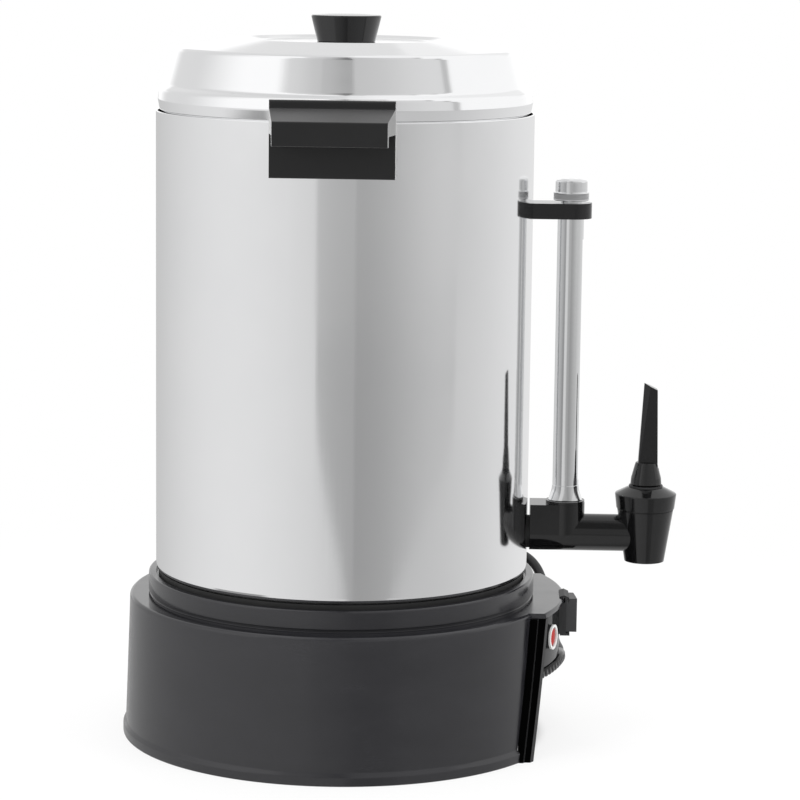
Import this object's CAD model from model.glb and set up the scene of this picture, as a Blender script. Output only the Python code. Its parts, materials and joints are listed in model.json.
"""Coffee urn: polished vessel and lid on a black heating base, with a sight gauge and a lever tap.

Everything is in metres in the CAD frame: the origin is on the urn's axis at the table, +X points to the tap.
"""

import json
import math

import bpy
import numpy as np
from mathutils import Matrix, Vector


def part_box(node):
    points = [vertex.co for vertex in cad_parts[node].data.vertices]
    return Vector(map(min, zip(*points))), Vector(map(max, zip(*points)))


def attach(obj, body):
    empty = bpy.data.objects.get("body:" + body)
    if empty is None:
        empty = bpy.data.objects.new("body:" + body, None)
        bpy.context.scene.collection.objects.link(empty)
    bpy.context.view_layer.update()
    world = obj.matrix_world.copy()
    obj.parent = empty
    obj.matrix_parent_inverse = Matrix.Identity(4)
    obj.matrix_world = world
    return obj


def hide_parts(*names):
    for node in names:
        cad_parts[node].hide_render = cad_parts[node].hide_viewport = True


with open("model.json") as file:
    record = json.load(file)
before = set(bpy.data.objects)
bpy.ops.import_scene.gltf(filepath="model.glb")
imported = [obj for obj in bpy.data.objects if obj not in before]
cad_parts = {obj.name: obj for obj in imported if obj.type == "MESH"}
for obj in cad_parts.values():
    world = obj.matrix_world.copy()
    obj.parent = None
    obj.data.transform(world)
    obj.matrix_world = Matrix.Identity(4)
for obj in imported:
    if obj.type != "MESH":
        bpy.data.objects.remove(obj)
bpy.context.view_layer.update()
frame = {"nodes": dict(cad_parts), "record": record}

MM = 0.001
TAU = 2 * math.pi


# ---- Places worked out from the CAD nodes ----

shield_low, shield_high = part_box("gauge_shield")
cap_low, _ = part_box("gauge_cap")
gauge_x = (shield_low.x + shield_high.x) / 2
shield_r = (shield_high.x - shield_low.x) / 2 / MM


# ---- Camera, solved from the rings of the vessel, lid and base ----

CAMERA_AZIMUTH = math.radians(2.5)
CAMERA_DISTANCE = 2.0074
CAMERA_HEIGHT = 0.5429
CAMERA_YAW = math.radians(1.0921)
CAMERA_PITCH = math.radians(8.972)
CAMERA_ROLL = math.radians(-0.694)
FOCAL_SHARE = 3028.9 / 800  # focal length over the picture's width
SENSOR = 36.0
CLIP_NEAR, CLIP_FAR = 0.05, 50


def make_camera():
    """The photograph's camera: turned by the azimuth about the urn's axis, then yawed, pitched and rolled."""
    sy, cy = math.sin(CAMERA_YAW), math.cos(CAMERA_YAW)
    sp, cp = math.sin(CAMERA_PITCH), math.cos(CAMERA_PITCH)
    ahead = Vector((sy * cp, cy * cp, -sp))
    right = Vector((cy, -sy, 0))
    down = ahead.cross(right)
    sr, cr = math.sin(CAMERA_ROLL), math.cos(CAMERA_ROLL)
    right, down = cr * right + sr * down, cr * down - sr * right
    turn = Matrix.Rotation(CAMERA_AZIMUTH, 3, "Z")
    data = bpy.data.cameras.new("camera")
    data.sensor_width = SENSOR
    data.lens = FOCAL_SHARE * SENSOR
    data.clip_start, data.clip_end = CLIP_NEAR, CLIP_FAR
    cam = bpy.data.objects.new("camera", data)
    bpy.context.scene.collection.objects.link(cam)
    axes = Matrix((right, -down, -ahead)).transposed()
    place = turn @ Vector((0, -CAMERA_DISTANCE, CAMERA_HEIGHT))
    cam.matrix_world = Matrix.Translation(place) @ (turn @ axes).to_4x4()
    bpy.context.scene.camera = cam


make_camera()


# ---- Mesh helpers: every surface is a grid of points, built with arrays ----


def grid_object(name, points, closed_u=False, closed_v=False, caps=(), uv=None):
    """Quads over points[u, v]. Closed directions wrap, and caps lists the u rows that one face closes."""
    nu, nv = points.shape[:2]
    iu = np.arange(nu if closed_u else nu - 1)
    iv = np.arange(nv if closed_v else nv - 1)
    u, v = np.meshgrid(iu, iv, indexing="ij")
    u1, v1 = (u + 1) % nu, (v + 1) % nv
    quads = np.stack([u * nv + v, u1 * nv + v, u1 * nv + v1, u * nv + v1], -1).reshape(-1, 4)
    faces = quads.tolist()
    for row in caps:
        ring = (np.arange(nv) + (row % nu) * nv).tolist()
        faces.append(ring if row == 0 else ring[::-1])
    mesh = bpy.data.meshes.new(name)
    mesh.from_pydata(points.reshape(-1, 3).tolist(), [], faces)
    if uv is not None:
        values = uv.reshape(-1, 2).astype(np.float32)
        index = np.zeros(len(mesh.loops), np.int32)
        mesh.loops.foreach_get("vertex_index", index)
        mesh.uv_layers.new(name="along").data.foreach_set("uv", values[index].ravel())
    mesh.polygons.foreach_set("use_smooth", [True] * len(mesh.polygons))
    mesh.update()
    obj = bpy.data.objects.new(name, mesh)
    bpy.context.scene.collection.objects.link(obj)
    return obj


def unit(v):
    """The vector, or each row's vector, at length one."""
    return v / np.maximum(np.linalg.norm(v, axis=-1, keepdims=True), 1e-12)


def rings(path, sides):
    """Unit circles across a path, side cos a + normal sin a, whose side starts upright and never twists."""
    tangents = unit(np.gradient(path, axis=0))
    side = np.array([0.0, 0.0, 1.0])
    carried = []
    for t in tangents:
        side = unit(side - t * np.dot(side, t))
        carried.append(side)
    carried = np.array(carried)
    normals = np.cross(tangents, carried)
    angle = np.linspace(0, TAU, sides, endpoint=False)
    cos, sin = np.cos(angle)[None, :, None], np.sin(angle)[None, :, None]
    return angle, carried[:, None] * cos + normals[:, None] * sin


def lengths(path):
    """Distance along a path at each of its points."""
    return np.concatenate([[0], np.cumsum(np.linalg.norm(np.diff(path, axis=0), axis=1))])


def smooth_path(route, step, per_span=40):
    """A uniform Catmull-Rom curve through the route's points, resampled at an even step."""
    route = np.array(route, float)
    ends = np.vstack([2 * route[0] - route[1], route, 2 * route[-1] - route[-2]])
    a, b, c, d = (ends[i:len(route) - 1 + i, None] for i in range(4))
    t = np.linspace(0, 1, per_span, endpoint=False)[None, :, None]
    square, cube = 2 * a - 5 * b + 4 * c - d, 3 * b - a - 3 * c + d
    curve = 0.5 * (2 * b + (c - a) * t + square * t**2 + cube * t**3)
    curve = np.vstack([curve.reshape(-1, 3), route[-1]])
    return resampled(curve, step)


def resampled(curve, step):
    """The curve at points an even step apart."""
    run = lengths(curve)
    places = np.linspace(0, run[-1], max(2, int(round(run[-1] / step)) + 1))
    return np.stack([np.interp(places, run, curve[:, k]) for k in range(3)], -1)


def tube(name, path, radius, sides):
    """Tube round a path: x = p + r (side cos a + normal sin a). UV: metres along, share of a turn round."""
    angle, circles = rings(path, sides)
    points = path[:, None] + radius * circles
    run = np.broadcast_to(lengths(path)[:, None], points.shape[:2])
    turn = np.broadcast_to((angle / TAU)[None], points.shape[:2])
    uv = np.stack([run, turn[:, ::-1]], -1)
    return grid_object(name, points[:, ::-1], closed_v=True, caps=(0, -1), uv=uv)


# ---- Power cord: the route and the coil follow the CAD's own points ----

CORD_D = 6.5 * MM
CORD_ROUTE = [
    (148.6, 6.3, 53.2), (148.4, 17.6, 53.3), (147.5, 28.8, 52.9), (146.3, 39.8, 53.9),
    (144.9, 50.2, 57.8), (143.4, 59.3, 64.1), (141.8, 67.5, 71.7), (139.8, 75, 79.8),
    (137.4, 82.4, 87.8), (133.3, 90, 94.9), (126.7, 97.7, 99.8), (117.9, 104, 102.1),
    (107.5, 108.1, 102.1), (96.7, 111.2, 100.8), (86.2, 114.8, 99.6), (76.6, 120.5, 99.2),
    (68.4, 128.1, 98.9), (62, 137.1, 97.2), (57.6, 146.2, 92.6), (54.4, 154.2, 85.5),
    (51.7, 160.6, 76.7), (49.4, 165.7, 67), (47.4, 169.9, 56.8), (45.5, 173.9, 46.5),
    (43.6, 178.1, 36.3), (41.3, 182.9, 26.4), (38.8, 188.8, 17.3), (35.7, 196.4, 9.9),
    (31.2, 206.4, 5.6), (25.85, 216, 4.7),
]
BOOT_ROUTE = [
    (115.5, -30, 44), (121, -30, 44), (127.4, -29.2, 44.9), (133.5, -27, 46.6), (138.9, -23.4, 48.6),
    (143.3, -18.7, 50.7), (146.4, -13, 52.4), (148.1, -6.7, 53.1), (148.5, -0.2, 53.2), (148.6, 6.3, 53.2),
]
COIL_Z = 4.7 * MM
COIL_R = 43.5 * MM
COIL_TURNS = 3.25
COIL_START = math.radians(30)
COIL_IN = np.array([-math.sin(COIL_START), math.cos(COIL_START), 0])
COIL_CENTRE = (np.array(CORD_ROUTE[-1]) * MM + COIL_IN * CORD_D
               - COIL_R * np.array([math.cos(COIL_START), math.sin(COIL_START), 0]))
TURN_PITCH = 7.2 * MM
TURN_STEPS = 48
TAIL_LENGTH = 60 * MM
TAIL_STEPS = 25
PLUG_Z = 9.3 * MM
ROUTE_STEP, CORD_STEP = 2.5 * MM, 2.4 * MM
CORD_SIDES = 20


def coil_points():
    """In and out by a pitch a turn, one layer up over the middle half turn, then straight on a little."""
    turn = np.linspace(0, COIL_TURNS, int(COIL_TURNS * TURN_STEPS) + 1)
    half = COIL_TURNS / 2
    angle = COIL_START + TAU * turn
    r = COIL_R - TURN_PITCH * (half - np.abs(turn - half))
    z = COIL_Z + TURN_PITCH * 2 * np.clip(turn - half + 0.25, 0, 0.5)
    turns = np.stack([COIL_CENTRE[0] + r * np.cos(angle), COIL_CENTRE[1] + r * np.sin(angle), z], -1)
    heading = np.array([-math.sin(angle[-1]), math.cos(angle[-1]), 0])
    return np.vstack([turns, turns[-1] + heading * CORD_D]), heading


def tail_points(start, heading):
    """Straight on from the coil, eased down to the plug's height: z = z0 + (z1 - z0) e^2 (3 - 2e)."""
    u = np.linspace(0, 1, TAIL_STEPS)
    ease = np.clip((u - 0.1) / 0.75, 0, 1)
    points = start + np.outer(u * TAIL_LENGTH, heading)
    points[:, 2] += (PLUG_Z - start[2]) * ease**2 * (3 - 2 * ease)
    return points


def make_cord():
    """One tube along the free stretch, the coil and the tail. It stands for all three of their nodes."""
    free = smooth_path(np.array(CORD_ROUTE) * MM, ROUTE_STEP)
    coil, heading = coil_points()
    tail = tail_points(coil[-1], heading)
    path = resampled(np.vstack([free, coil, tail[1:]]), CORD_STEP)
    cord = tube("cord_flex", path, CORD_D / 2, CORD_SIDES)
    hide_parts("cord", "cord_coil", "cord_tail")
    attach(cord, "urn")
    return cord


cord_flex = make_cord()


# ---- Node maths: a field is one socket of a shader tree, and its operators add the nodes ----


class Field:
    """A value that varies over a surface. Arithmetic on fields builds Math nodes in the same tree."""

    def __init__(self, tree, socket):
        self.tree = tree
        self.socket = socket

    def math(self, operation, *others):
        return node(self.tree, "ShaderNodeMath", self, *others, operation=operation)

    def __add__(self, other): return self.math("ADD", other)
    def __sub__(self, other): return self.math("SUBTRACT", other)
    def __mul__(self, other): return self.math("MULTIPLY", other)
    def __pow__(self, other): return self.math("POWER", other)
    def __neg__(self): return self.math("MULTIPLY", -1)
    def __radd__(self, other): return self.math("ADD", other)
    def __rmul__(self, other): return self.math("MULTIPLY", other)
    def __rsub__(self, other): return (-self).math("ADD", other)

    def abs(self): return self.math("ABSOLUTE")
    def sin(self): return self.math("SINE")
    def sqrt(self): return self.math("SQRT")
    def largest(self, other): return self.math("MAXIMUM", other)

    def ramp(self, low, high, to_low=0.0, to_high=1.0):
        """Smooth step: to_low below low, to_high above high."""
        return node(self.tree, "ShaderNodeMapRange", self, low, high, to_low, to_high,
                    interpolation_type="SMOOTHSTEP", clamp=True)

    def part(self, axis):
        """One axis of a vector, by its number."""
        return node(self.tree, "ShaderNodeSeparateXYZ", self, out=axis)


def node(tree, kind, *values, out=0, **settings):
    """Adds one node, sets its properties, feeds its sockets in order, and returns one output as a field."""
    n = tree.nodes.new(kind)
    for key, value in settings.items():
        setattr(n, key, value)
    sockets = [s for s in n.inputs if s.enabled]
    for socket, value in zip(sockets, values):
        feed(tree, socket, value)
    outputs = [s for s in n.outputs if s.enabled]
    return Field(tree, outputs[out] if isinstance(out, int) else n.outputs[out])


def feed(tree, socket, value):
    """Links a field to a socket, or sets its value. Greys and colours become opaque. None does nothing."""
    if value is None:
        return
    if isinstance(value, Field):
        tree.links.new(value.socket, socket)
    elif socket.type == "RGBA" and not hasattr(value, "__len__"):
        socket.default_value = (value, value, value, 1)
    elif socket.type == "RGBA" and len(value) == 3:
        socket.default_value = (*value, 1)
    else:
        socket.default_value = value


class Surface:
    """A material with one Principled shader. Textures are in the object's own metres."""

    def __init__(self, name, **values):
        self.material = bpy.data.materials.new(name)
        self.material.use_nodes = True
        self.tree = self.material.node_tree
        self.tree.nodes.clear()
        self.shader = self.tree.nodes.new("ShaderNodeBsdfPrincipled")
        self.output = self.tree.nodes.new("ShaderNodeOutputMaterial")
        self.tree.links.new(self.shader.outputs[0], self.output.inputs["Surface"])
        self.place = node(self.tree, "ShaderNodeTexCoord", out="Object")
        self.set(**values)

    def set(self, **values):
        """Feeds the shader's sockets by name, such as base_color for Base Color."""
        for key, value in values.items():
            feed(self.tree, self.shader.inputs[key.replace("_", " ").title().replace("Ior", "IOR")], value)

    def axis(self, k):
        return self.place.part(k)

    def stretched(self, x, y, z):
        """Object coordinates scaled along each axis, for grain that runs one way."""
        return node(self.tree, "ShaderNodeVectorMath", self.place, (x, y, z), operation="MULTIPLY")

    def wrapped(self, round_scale, up_scale):
        """The bearing about the upright axis as a point on a circle of round_scale, and z times up_scale."""
        angle = self.axis(0).math("ARCTAN2", self.axis(1))
        return node(self.tree, "ShaderNodeCombineXYZ", angle.sin() * round_scale,
                    (angle + math.pi / 2).sin() * round_scale, self.axis(2) * up_scale)

    def noise(self, at, scale, detail=3.0, roughness=0.55):
        return node(self.tree, "ShaderNodeTexNoise", at, scale, detail, roughness)

    def mix(self, factor, low, high):
        """Colour between low at a factor of 0 and high at 1."""
        tree = self.tree
        n = tree.nodes.new("ShaderNodeMix")
        n.data_type = "RGBA"
        feed(tree, n.inputs[0], factor)
        feed(tree, n.inputs[6], low)
        feed(tree, n.inputs[7], high)
        return Field(tree, n.outputs[2])

    def bump(self, height, strength, distance):
        """Adds a bump on top of those already there."""
        old = self.shader.inputs["Normal"].links
        before = Field(self.tree, old[0].from_socket) if old else None
        n = self.tree.nodes.new("ShaderNodeBump")
        n.inputs["Strength"].default_value = strength
        n.inputs["Distance"].default_value = distance
        feed(self.tree, n.inputs["Height"], height)
        feed(self.tree, n.inputs["Normal"], before)
        feed(self.tree, self.shader.inputs["Normal"], Field(self.tree, n.outputs[0]))


# ---- Materials ----

VESSEL_R = 0.125
SKIRT_R = 0.142
LENS_RIB = 1.1 * MM

# Depths of the bumps, each taken times its bump's strength
SPECK_DEPTH = 0.1 * MM
GRAIN_DEPTH = 0.2 * MM
COARSE_DEPTH = 0.3 * MM
WAVE_DEPTH = 1.2 * MM


def polished_aluminium():
    """Buffed sheet: a mirror with faint vertical drawing lines, wiping haze and a slow ripple of the wall."""
    s = Surface("polished_aluminium", metallic=1.0)
    drawn = s.noise(s.wrapped(VESSEL_R, 0.02), 900, 4)
    haze = s.noise(s.place, 14, 5, 0.6)
    wipe = s.noise(s.wrapped(VESSEL_R, 1.0), 260, 3)
    s.set(base_color=s.mix(haze, (0.87, 0.875, 0.885), (0.93, 0.93, 0.935)),
          roughness=0.055 + drawn * 0.05 + haze.ramp(0.45, 0.75) * 0.05)
    s.bump(s.noise(s.stretched(1, 1, 0.35), 16, 2, 0.4), 0.12, WAVE_DEPTH)
    s.bump(drawn, 0.03, GRAIN_DEPTH)
    s.bump(wipe, 0.015, GRAIN_DEPTH)
    return s.material


def spun_aluminium():
    """Dull inner sheet with spinning lines round it."""
    s = Surface("spun_aluminium", metallic=1.0)
    lines = s.noise(s.wrapped(0.02, 1.0), 700, 3)
    s.set(base_color=s.mix(lines, (0.68, 0.68, 0.69), (0.78, 0.78, 0.79)), roughness=0.24 + lines * 0.16)
    s.bump(lines, 0.12, COARSE_DEPTH)
    return s.material


def black_base():
    """Black moulding with a fine grain drawn round the skirt, faint cloudy rubbing and a few dust specks."""
    s = Surface("black_base", specular_ior_level=0.62)
    grain = s.noise(s.wrapped(SKIRT_R * 0.06, 1.0), 1500, 4, 0.65)
    cloud = s.noise(s.stretched(1, 1, 2.5), 18, 4, 0.6)
    specks = node(s.tree, "ShaderNodeTexVoronoi", s.place, 420).ramp(0.02, 0.1, 1.0, 0.0)
    tone = grain * 0.35 + cloud * 0.65
    s.set(base_color=s.mix(tone, (0.009, 0.009, 0.0105), (0.021, 0.0208, 0.0245)),
          roughness=0.1 + grain * 0.07 + cloud.ramp(0.35, 0.75) * 0.1)
    s.bump(grain, 0.1, GRAIN_DEPTH)
    s.bump(specks, 0.06, SPECK_DEPTH)
    return s.material


def black_frame():
    """The front frame's moulding: deep black where it faces along Y, glossy on its strips and wall."""
    s = Surface("black_frame", specular_ior_level=0.0)
    grain = s.noise(s.place, 900, 3, 0.6)
    facing = node(s.tree, "ShaderNodeTexCoord", out="Normal").part(1).abs()
    shine = facing.ramp(0.72, 0.8, 1.0, 0.0)
    moulded = s.mix(grain, (0.012, 0.012, 0.0125), (0.024, 0.024, 0.025))
    s.set(base_color=s.mix(shine, (0.0012, 0.0012, 0.0012), moulded), roughness=0.25 + grain * 0.2,
          coat_weight=shine * 0.6, coat_roughness=0.08)
    s.bump(grain, 0.05, GRAIN_DEPTH)
    return s.material


def black_moulding():
    """Glossy black thermoset: deep, with a faint orange peel and cloudy rubbing."""
    s = Surface("black_moulding", specular_ior_level=0.55)
    peel = s.noise(s.place, 700, 2, 0.5)
    cloud = s.noise(s.place, 40, 4, 0.6)
    s.set(base_color=s.mix(cloud, (0.002, 0.002, 0.0021), (0.006, 0.006, 0.0063)),
          roughness=0.05 + cloud * 0.09)
    s.bump(peel, 0.03, GRAIN_DEPTH)
    return s.material


def satin_moulding():
    """Finely textured black of the handles: dark where it is met square, pale where light grazes it."""
    s = Surface("satin_moulding", specular_ior_level=0.42, sheen_weight=0.9, sheen_roughness=0.3)
    grain = s.noise(s.place, 1700, 3, 0.65)
    cloud = s.noise(s.place, 30, 4, 0.6)
    s.set(base_color=s.mix(cloud * 0.6 + grain * 0.4, (0.003, 0.003, 0.0032), (0.009, 0.009, 0.0094)),
          roughness=0.3 + grain * 0.14)
    s.bump(grain, 0.12, GRAIN_DEPTH)
    return s.material


def dark_matte():
    """Grained dark plastic without a gloss."""
    s = Surface("dark_matte", specular_ior_level=0.45)
    grain = s.noise(s.place, 1500, 3, 0.6)
    s.set(base_color=s.mix(grain, (0.018, 0.018, 0.019), (0.035, 0.035, 0.036)), roughness=0.42 + grain * 0.2)
    s.bump(grain, 0.25, GRAIN_DEPTH)
    return s.material


def grey_button():
    """Finely grained plastic, a shade paler than what is round it."""
    s = Surface("grey_button", specular_ior_level=0.5)
    grain = s.noise(s.place, 1800, 3, 0.6)
    s.set(base_color=s.mix(grain, (0.03, 0.03, 0.032), (0.055, 0.055, 0.057)), roughness=0.34 + grain * 0.16)
    s.bump(grain, 0.2, GRAIN_DEPTH)
    return s.material


def chrome():
    """Bright plating with polishing haze."""
    s = Surface("chrome", metallic=1.0)
    haze = s.noise(s.place, 400, 3, 0.6)
    s.set(base_color=s.mix(haze, (0.84, 0.845, 0.85), (0.7896, 0.7943, 0.799)), roughness=0.04 + haze * 0.06)
    s.bump(haze, 0.03, GRAIN_DEPTH)
    return s.material


def knurled_chrome():
    """The cap's plating, with dull grey in the cuts of its knurl. Its UV holds the depth of the cut."""
    s = Surface("knurled_chrome", metallic=1.0)
    haze = s.noise(s.place, 900, 3, 0.6)
    cut = node(s.tree, "ShaderNodeTexCoord", out="UV").part(0)
    s.set(base_color=s.mix(cut, s.mix(haze, (0.8, 0.805, 0.81), (0.72, 0.725, 0.73)), (0.4, 0.4, 0.405)),
          roughness=0.08 + haze * 0.1 + cut * 0.3)
    s.bump(haze, 0.03, GRAIN_DEPTH)
    return s.material


def screw_steel():
    """Plated fastener steel with a turned grain."""
    s = Surface("screw_steel", metallic=1.0)
    grain = s.noise(s.stretched(1, 1, 6), 700, 4, 0.6)
    s.set(base_color=s.mix(grain, (0.528, 0.528, 0.52), (0.66, 0.66, 0.65)), roughness=0.26 + grain * 0.22)
    s.bump(grain, 0.15, GRAIN_DEPTH)
    return s.material


def heater_steel():
    """Heat-tinted sheath: straw and blue where it runs hottest."""
    s = Surface("heater_steel", metallic=1.0)
    tint = s.noise(s.place, 55, 3, 0.5)
    s.set(base_color=s.mix(tint.ramp(0.35, 0.65), (0.3, 0.25, 0.19), (0.24, 0.26, 0.31)),
          roughness=0.36 + tint * 0.2)
    s.bump(s.noise(s.place, 900, 3), 0.2, COARSE_DEPTH)
    return s.material


def painted_cover():
    """Black paint with an orange peel and a few grey scuffs."""
    s = Surface("painted_cover", specular_ior_level=0.5)
    peel = s.noise(s.place, 600, 2, 0.5)
    scuff = s.noise(s.stretched(1, 6, 1), 60, 4, 0.6).ramp(0.62, 0.72)
    s.set(base_color=s.mix(scuff, (0.018, 0.018, 0.019), (0.06, 0.06, 0.06)), roughness=0.3 + peel * 0.2)
    s.bump(peel, 0.15, COARSE_DEPTH)
    return s.material


def rubber(name, dark, light, rough):
    """Soft rubber with a fine grain and dust that lightens it in patches."""
    s = Surface(name, specular_ior_level=0.4)
    grain = s.noise(s.place, 1200, 3, 0.6)
    dust = s.noise(s.place, 60, 4, 0.6)
    s.set(base_color=s.mix(dust, dark, light), roughness=rough + grain * 0.18)
    s.bump(grain, 0.2, COARSE_DEPTH)
    return s.material


def ribbed_rubber():
    """Strain relief: black and smooth above, worn grey with dark grooves below. UV: groove, underside."""
    s = Surface("ribbed_rubber", specular_ior_level=0.5)
    grain = s.noise(s.place, 1200, 3, 0.6)
    own = node(s.tree, "ShaderNodeTexCoord", out="UV")
    groove, below = own.part(0), own.part(1)
    worn = s.mix(groove, s.mix(grain, (0.17, 0.17, 0.172), (0.24, 0.24, 0.243)), (0.004, 0.004, 0.004))
    s.set(base_color=s.mix(below, (0.003, 0.003, 0.003), worn), roughness=0.16 + below * 0.3 + grain * 0.1)
    s.bump(grain, 0.1, GRAIN_DEPTH)
    return s.material


def jacket(name, dark, light, rough):
    """Soft jacket of a cord or a lead: a fine grain over slow smears."""
    s = Surface(name, specular_ior_level=0.45)
    grain = s.noise(s.place, 1100, 3, 0.6)
    smear = s.noise(s.place, 90, 3, 0.5)
    s.set(base_color=s.mix(smear, dark, light), roughness=rough + grain * 0.14)
    s.bump(grain, 0.1, COARSE_DEPTH)
    return s.material


def ceramic():
    """Unglazed off-white ceramic, finely spotted."""
    s = Surface("ceramic", specular_ior_level=0.5)
    spots = s.noise(s.place, 900, 4, 0.7)
    s.set(base_color=s.mix(spots, (0.72, 0.69, 0.62), (0.84, 0.82, 0.77)), roughness=0.4 + spots * 0.2)
    s.bump(spots, 0.15, COARSE_DEPTH)
    return s.material


def white_ring():
    """Glossy white plastic of the lamp's ring."""
    s = Surface("white_ring", specular_ior_level=0.5, coat_weight=0.4)
    peel = s.noise(s.place, 1400, 2, 0.5)
    s.set(base_color=s.mix(peel, (0.74, 0.74, 0.73), (0.8, 0.8, 0.79)), roughness=0.2 + peel * 0.1)
    s.bump(peel, 0.05, GRAIN_DEPTH)
    return s.material


def red_lens():
    """Moulded lens with fine pressed ribs, lit a little from behind."""
    s = Surface("red_lens", specular_ior_level=0.12, emission_color=(0.6, 0.02, 0.01), emission_strength=0.05)
    ribs = (s.axis(2) * (TAU / LENS_RIB)).sin() * 0.5 + 0.5
    deep = s.noise(s.place, 500, 2, 0.5)
    s.set(base_color=s.mix(ribs * 0.6 + deep * 0.4, (0.26, 0.006, 0.004), (0.48, 0.016, 0.01)),
          roughness=0.3 + ribs * 0.1)
    s.bump(ribs, 0.2, COARSE_DEPTH)
    return s.material


def glass():
    """Clear tube with a faint haze drawn along it."""
    s = Surface("glass", ior=1.45, transmission_weight=1.0)
    haze = s.noise(s.stretched(1, 1, 0.2), 300, 3, 0.5)
    s.set(base_color=s.mix(haze, (0.93, 0.97, 0.97), (0.98, 0.99, 0.99)),
          roughness=haze.ramp(0.4, 0.8) * 0.06)
    return s.material


def brass():
    """Turned brass with a fine grain across it."""
    s = Surface("brass", metallic=1.0)
    grain = s.noise(s.stretched(1, 1, 5), 500, 3, 0.6)
    s.set(base_color=s.mix(grain, (0.62, 0.45, 0.17), (0.78, 0.6, 0.28)), roughness=0.22 + grain * 0.14)
    s.bump(grain, 0.1, GRAIN_DEPTH)
    return s.material


FINISHES = {
    "polished_aluminium": polished_aluminium(),
    "spun_aluminium": spun_aluminium(),
    "black_moulding": black_moulding(),
    "black_base": black_base(),
    "black_frame": black_frame(),
    "satin_moulding": satin_moulding(),
    "dark_matte": dark_matte(),
    "grey_button": grey_button(),
    "chrome": chrome(),
    "knurled_chrome": knurled_chrome(),
    "white_ring": white_ring(),
    "red_lens": red_lens(),
    "screw_steel": screw_steel(),
    "heater_steel": heater_steel(),
    "cover_paint": painted_cover(),
    "glass": glass(),
    "black_rubber": rubber("black_rubber", (0.011, 0.011, 0.011), (0.024, 0.024, 0.024), 0.5),
    "ribbed_rubber": ribbed_rubber(),
    "red_silicone": rubber("red_silicone", (0.4, 0.09, 0.05), (0.52, 0.15, 0.09), 0.45),
    "pale_silicone": rubber("pale_silicone", (0.62, 0.6, 0.54), (0.74, 0.72, 0.66), 0.45),
    "cord_jacket": jacket("cord_jacket", (0.014, 0.014, 0.015), (0.03, 0.03, 0.031), 0.4),
    "ceramic": ceramic(),
    "wire_jacket": jacket("wire_jacket", (0.66, 0.65, 0.62), (0.8, 0.79, 0.76), 0.4),
    "brass": brass(),
}

# Nodes whose finish differs from the one their slot in the record names
OWN_FINISHES = {"handle_near": "satin_moulding", "handle_far": "satin_moulding", "front_panel": "black_frame"}


def dress_nodes():
    """Every CAD node gets its slot's procedural material, unless it has a finish of its own."""
    slots = {p["node"]: p["material_slot"] for p in frame["record"]["subparts"]}
    for name, obj in frame["nodes"].items():
        finish = OWN_FINISHES.get(name, slots[name])
        for place in obj.material_slots:
            place.material = FINISHES[finish]


dress_nodes()
cord_flex.data.materials.append(FINISHES["cord_jacket"])


# ---- Strain relief, ribbed on its outside ----


def dressed(piece, finish, slot, body, *nodes):
    """The piece takes a finish, stands for CAD nodes, rides on a body and names the record's slot."""
    piece.data.materials.append(FINISHES[finish])
    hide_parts(*nodes)
    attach(piece, body)


BOOT_STEP, BOOT_SIDES = 0.35 * MM, 40
BOOT_R, BOOT_END_R = 5.2 * MM, 3.8 * MM  # before the lip's own drop at the end
BOOT_RIBS = 17
RIBS_FROM, RIBS_OVER, RIBS_TO = 0.12, 0.8, 0.93  # shares of the length
GROOVE_DEPTH = 0.8 * MM
LIP_FROM, LIP_DROP = 0.95, 0.35 * MM


def make_boot():
    """Tapering tube, ribbed on its outer underside: r = taper - depth (1 - cos^6 of the rib's turn) there."""
    path = smooth_path(np.array(BOOT_ROUTE) * MM, BOOT_STEP)
    u = lengths(path) / lengths(path)[-1]
    taper = BOOT_R + (BOOT_END_R - BOOT_R) * u
    taper = np.where(u > LIP_FROM, taper - LIP_DROP * (u - LIP_FROM) / (1 - LIP_FROM), taper)
    wave = np.cos(math.pi * BOOT_RIBS * (u - RIBS_FROM) / RIBS_OVER) ** 6
    ribbed = np.clip((u - RIBS_FROM) / 0.02, 0, 1) * np.clip((RIBS_TO - u) / 0.02, 0, 1)
    _, ring = rings(path, BOOT_SIDES)
    below = np.clip(0.2 + 2.2 * (0.55 * ring[..., 0] - 0.83 * ring[..., 2]), 0, 1)
    groove = np.broadcast_to((ribbed * (1 - wave))[:, None], below.shape)
    points = path[:, None] + (taper[:, None] - GROOVE_DEPTH * groove * below)[..., None] * ring
    boot = grid_object("strain_relief", points[:, ::-1], closed_v=True, caps=(0, -1),
                       uv=np.stack([groove, below], -1)[:, ::-1])
    dressed(boot, "ribbed_rubber", "black_rubber", "urn", "cord_boot")


make_boot()


# ---- Turned and moulded pieces with finer forms than their solids ----


def rounded_profile(corners, steps=6):
    """Outline of (radius, height, rounding) corners in millimetres, each corner replaced by an even arc."""
    corners = np.array(corners, float)
    points = [corners[0, :2]]
    for before, (x, y, r), after in zip(corners[:-2], corners[1:-1], corners[2:]):
        at = np.array([x, y])
        if r <= 0:
            points.append(at)
            continue
        u, v = unit(before[:2] - at), unit(after[:2] - at)
        half = math.acos(np.clip(np.dot(u, v), -1, 1)) / 2
        centre = at + unit(u + v) * r / math.sin(half)
        start, end = at + u * r / math.tan(half), at + v * r / math.tan(half)
        for k in range(steps + 1):
            points.append(centre + r * unit(start + (end - start) * k / steps - centre))
    points.append(corners[-1, :2])
    return np.array(points)


def close_rows(profile, step, rim):
    """Even rows along a profile, a step apart at most outside the rim's radius, and three steps inside it."""
    rows = []
    for a, b in zip(profile[:-1], profile[1:]):
        longest = step if min(a[0], b[0]) > rim else 3 * step
        count = max(1, int(math.ceil(np.linalg.norm(b - a) / longest)))
        rows.append(a + (b - a) * np.linspace(0, 1, count, endpoint=False)[:, None])
    return np.vstack(rows + [profile[-1:]])


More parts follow.
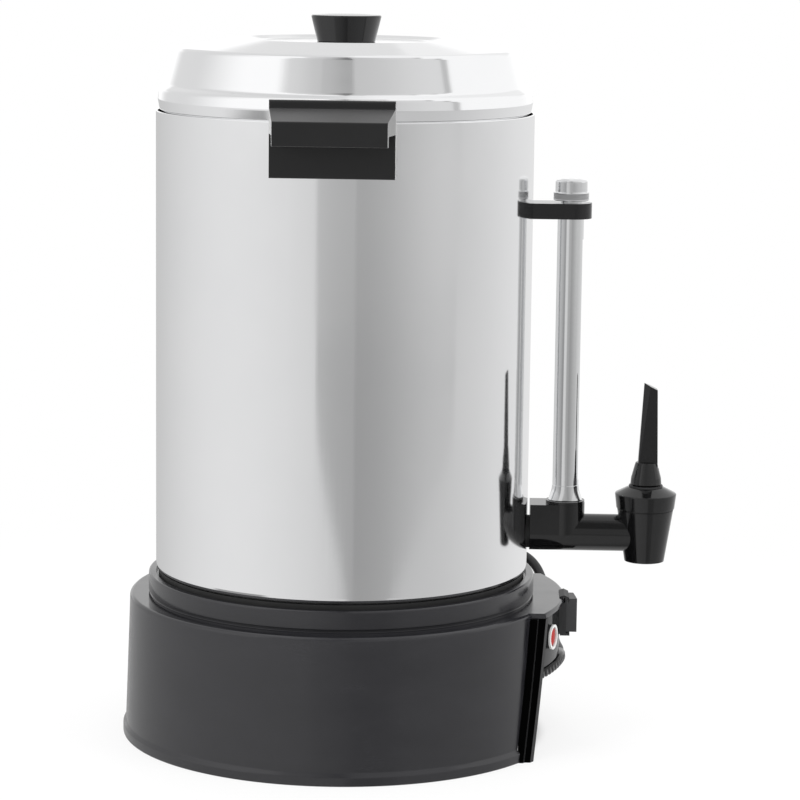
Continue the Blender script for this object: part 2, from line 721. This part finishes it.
def about_gauge(r, z, angle, base_z):
    """Points (cx + r cos a, r sin a, base + z) about the gauge's axis, for r and z in millimetres."""
    r = r * MM
    height = np.broadcast_to(base_z + z * MM, r.shape)
    return np.stack([gauge_x + r * np.cos(angle), r * np.sin(angle), height], -1)


# (radius, height, rounding) in millimetres, up the outside from the middle of the underside
CAP_CORNERS = [
    (0.4, 0.05, 0), (6.9, 0.05, 0.3), (6.9, 7.45, 0), (11.85, 7.45, 0.5), (11.85, 12.85, 0.5),
    (10.6, 12.95, 0), (10.5, 20.7, 1.1), (6, 21.6, 5), (0.4, 21.95, 0),
]
CAP_SIDES, CAP_ROW = 468, 0.16
KNURL_R, KNURL_LOW, KNURL_HIGH = 11.3, 8.1, 12.2  # the knurled band lies outside and between these
KNURL_FADE = 0.25
KNURLS, KNURL_SLANT = 26, 2.2
KNURL_DEPTH = 0.7


def make_cap():
    """Chrome cap. The knurl of its band is (1 - |sin(26a + kz) sin(26a - kz)|)^1.5, ended before the lips."""
    profile = close_rows(rounded_profile(CAP_CORNERS), CAP_ROW, KNURL_R)
    r, z = profile[:, :1], profile[:, 1:]
    angle = np.linspace(0, TAU, CAP_SIDES, endpoint=False)[None]
    slant = z * KNURL_SLANT
    ridges = np.abs(np.sin(KNURLS * angle + slant)) * np.abs(np.sin(KNURLS * angle - slant))
    lips = np.clip((z - KNURL_LOW) / KNURL_FADE, 0, 1) * np.clip((KNURL_HIGH - z) / KNURL_FADE, 0, 1)
    cut = lips * (r > KNURL_R) * (0.12 + 0.88 * (1 - ridges) ** 1.5)
    points = about_gauge(r - KNURL_DEPTH * cut, z, angle, cap_low.z)
    uv = np.stack([cut, np.broadcast_to(z, cut.shape)], -1)
    cap = grid_object("knurled_cap", points[:, ::-1], closed_v=True, caps=(0, -1), uv=uv[:, ::-1])
    dressed(cap, "knurled_chrome", "chrome", "urn", "gauge_cap")


# Lengths in millimetres, and the share of its height that the flare takes
FLARE_SIDES, FLARE_ROWS = 120, 30
FLARE_GAP, FLARE_WALL = 0.06, 0.16
FLARE_OUT, FLARE_POWER = 2.6, 1.6
FLARE_SHARE = 0.92


def make_flare():
    """Foot of the shield, flared towards its two sides only: r + 2.6 cos^2 a (1 - z)^1.6."""
    low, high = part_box("shield_skirt")
    tall = (high.z - low.z) / MM
    inner_r, outer_r = shield_r + FLARE_GAP, shield_r + FLARE_GAP + FLARE_WALL
    rise = np.linspace(0, 1, FLARE_ROWS)
    outer = np.stack([np.full(FLARE_ROWS, outer_r), rise * (tall - 0.1) + 0.05], -1)
    inner = np.array([[inner_r, tall - 0.05], [inner_r, 0.05]])
    profile = np.vstack([outer, inner])
    r, z = profile[:, :1], profile[:, 1:]
    angle = np.linspace(0, TAU, FLARE_SIDES, endpoint=False)[None]
    fall = np.clip(1 - z / (tall * FLARE_SHARE), 0, 1) ** FLARE_POWER
    out = FLARE_OUT * np.cos(angle) ** 2 * fall * (r > inner_r + FLARE_WALL / 2)
    points = about_gauge(r + out, z, angle, low.z)
    flare = grid_object("shield_foot", points[:, ::-1], closed_u=True, closed_v=True)
    dressed(flare, "chrome", "chrome", "urn", "shield_skirt")


make_cap()
make_flare()


# ---- Floor, light and world ----

FLOOR_HALF = 6.0
FOOT_R = 0.128
WHITE_FROM, WHITE_TO = 0.22, 0.75  # distances from the urn's axis
WHITE_NEAR = 0.8  # share of plain white near the urn


def make_floor():
    """Pale sheet. To the camera it is white far off, and some light and shadow shows near the urn."""
    e = FLOOR_HALF
    floor = grid_object("floor", np.array([[[-e, -e, 0], [-e, e, 0]], [[e, -e, 0], [e, e, 0]]]))
    s = Surface("floor", base_color=(0.9, 0.9, 0.9), roughness=0.6, specular_ior_level=0.2)
    out = (s.axis(0) ** 2 + s.axis(1) ** 2).sqrt()
    away = out.ramp(WHITE_FROM, WHITE_TO, WHITE_NEAR, 1.0) * out.ramp(FOOT_R, SKIRT_R)
    camera = node(s.tree, "ShaderNodeLightPath", out="Is Camera Ray")
    clear = node(s.tree, "ShaderNodeLightPath", out="Is Transmission Ray")
    white = node(s.tree, "ShaderNodeEmission", 1.0, 1.0)
    plain = Field(s.tree, s.shader.outputs[0])
    shown = node(s.tree, "ShaderNodeMixShader", away * camera.largest(clear), plain, white)
    s.tree.links.new(shown.socket, s.output.inputs["Surface"])
    floor.data.materials.append(s.material)
    floor.visible_glossy = False


def area_light(name, at, aim, size, power):
    """A soft rectangular light aimed at a point, which mirrors don't show."""
    data = bpy.data.lights.new(name, "AREA")
    data.shape = "RECTANGLE"
    data.size, data.size_y = size
    data.energy = power
    lamp = bpy.data.objects.new(name, data)
    lamp.location = at
    lamp.rotation_mode = "QUATERNION"
    lamp.rotation_quaternion = (Vector(aim) - Vector(at)).to_track_quat("-Z", "Y")
    lamp.visible_glossy = False
    bpy.context.scene.collection.objects.link(lamp)


def between(value, low, high, soft):
    """One inside low to high, with soft edges."""
    return (value - low).ramp(-soft, soft) * (high - value).ramp(-soft, soft)


# The studio's edges, in degrees of bearing clockwise from the camera's side
DEGREES = 180 / math.pi
OPENING_LEFT, OPENING_RIGHT = -14, 74
DOORWAY_LEFT, DOORWAY_RIGHT = -14, 7.5
SLOT_LEFT, SLOT_RIGHT = 71, 75.5
GAP_LEFT, GAP_RIGHT = -84, -47
LIT_GREY = 0.75


def studio(bearing, height):
    """Brightness that mirrors show, by bearing and by height above level, both in degrees."""
    # Level and lower: pale walls with one grey opening between them, narrower for rays that dip steeply
    dip = (-height).ramp(9.0, 13.5)
    from_left, from_right = bearing - OPENING_LEFT - dip * 20, OPENING_RIGHT - dip * 42 - bearing
    opening = from_left.ramp(-1.2, 1.2) * from_right.ramp(-1.5, 1.5)
    grey = (bearing - 9).abs().ramp(0, 60, 0.35, 0.54) + (9.3 - bearing).ramp(-0.4, 0.4) * 0.05
    grey = grey * (1 + height.ramp(-9, -5.5) * 0.15)
    wall = 0.69 + ((bearing + 68) * (math.pi / 110)).math("COSINE") * 0.12
    low = wall * (1 - opening) + grey * opening

    # Higher: a bright panel on the left, a doorway ahead, and a pale side with a dark slot on the right
    panel = 0.75 + bearing.ramp(-116, -66) * 0.32 - bearing.ramp(-46, -35) * 0.36
    panel = panel - bearing.ramp(-35, -14) * 0.12 + bearing.ramp(8, 68) * 0.16
    panel = panel - between(bearing, SLOT_LEFT, SLOT_RIGHT, 1.0) * 0.2 + bearing.ramp(SLOT_RIGHT, 78) * 0.28
    doorway = between(bearing, DOORWAY_LEFT, DOORWAY_RIGHT, 0.6)
    high = panel - doorway * (0.06 + height.ramp(25, 33) * 0.34 * bearing.ramp(-14, 6))

    # Behind the urn the room is brighter, and darker again high up
    back = bearing.abs().ramp(138, 158)
    steep = height.ramp(13, 16.5)
    over = 1.1 - steep * 0.31 + bearing.ramp(-2, 2) * 0.13 * steep
    upper = height.ramp(-3.4, -1.6)
    level = low * (1 - upper) + high * upper
    level = level * (1 - back * upper) + over * back * upper

    # A darker stretch of floor on the left
    floor_gap = between(bearing, GAP_LEFT, GAP_RIGHT, 4) * (-height).ramp(19, 22)
    return level * (1 - floor_gap * 0.6)


def make_world():
    """White to the camera and through glass, soft grey to lit surfaces, and the studio to mirrors."""
    world = bpy.data.worlds.new("studio")
    bpy.context.scene.world = world
    world.use_nodes = True
    tree = world.node_tree
    tree.nodes.clear()
    direction = node(tree, "ShaderNodeTexCoord", out="Generated")
    x, y, z = (direction.part(k) for k in range(3))
    level = studio(x.math("ARCTAN2", -y) * DEGREES, z.math("ARCSINE") * DEGREES)

    camera = node(tree, "ShaderNodeLightPath", out="Is Camera Ray")
    clear = node(tree, "ShaderNodeLightPath", out="Is Transmission Ray")
    glossy = node(tree, "ShaderNodeLightPath", out="Is Glossy Ray")
    seen = camera.largest(clear)
    strength = seen + (1 - seen) * (glossy * level + (1 - glossy) * LIT_GREY)
    background = node(tree, "ShaderNodeBackground", 1.0, strength)
    out = tree.nodes.new("ShaderNodeOutputWorld")
    tree.links.new(background.socket, out.inputs["Surface"])


make_floor()
make_world()
area_light("softbox_left", at=(-1.6, -1.4, 1.5), aim=(0, 0, 0.25), size=(1.2, 1.2), power=26)
area_light("softbox_right", at=(1.7, -1.0, 1.3), aim=(0.1, 0, 0.25), size=(0.9, 1.2), power=14)
area_light("softbox_top", at=(0.1, 0.2, 2.0), aim=(0, 0, 0.2), size=(1.4, 1.4), power=20)

scene = bpy.context.scene
scene.view_settings.view_transform = "Standard"
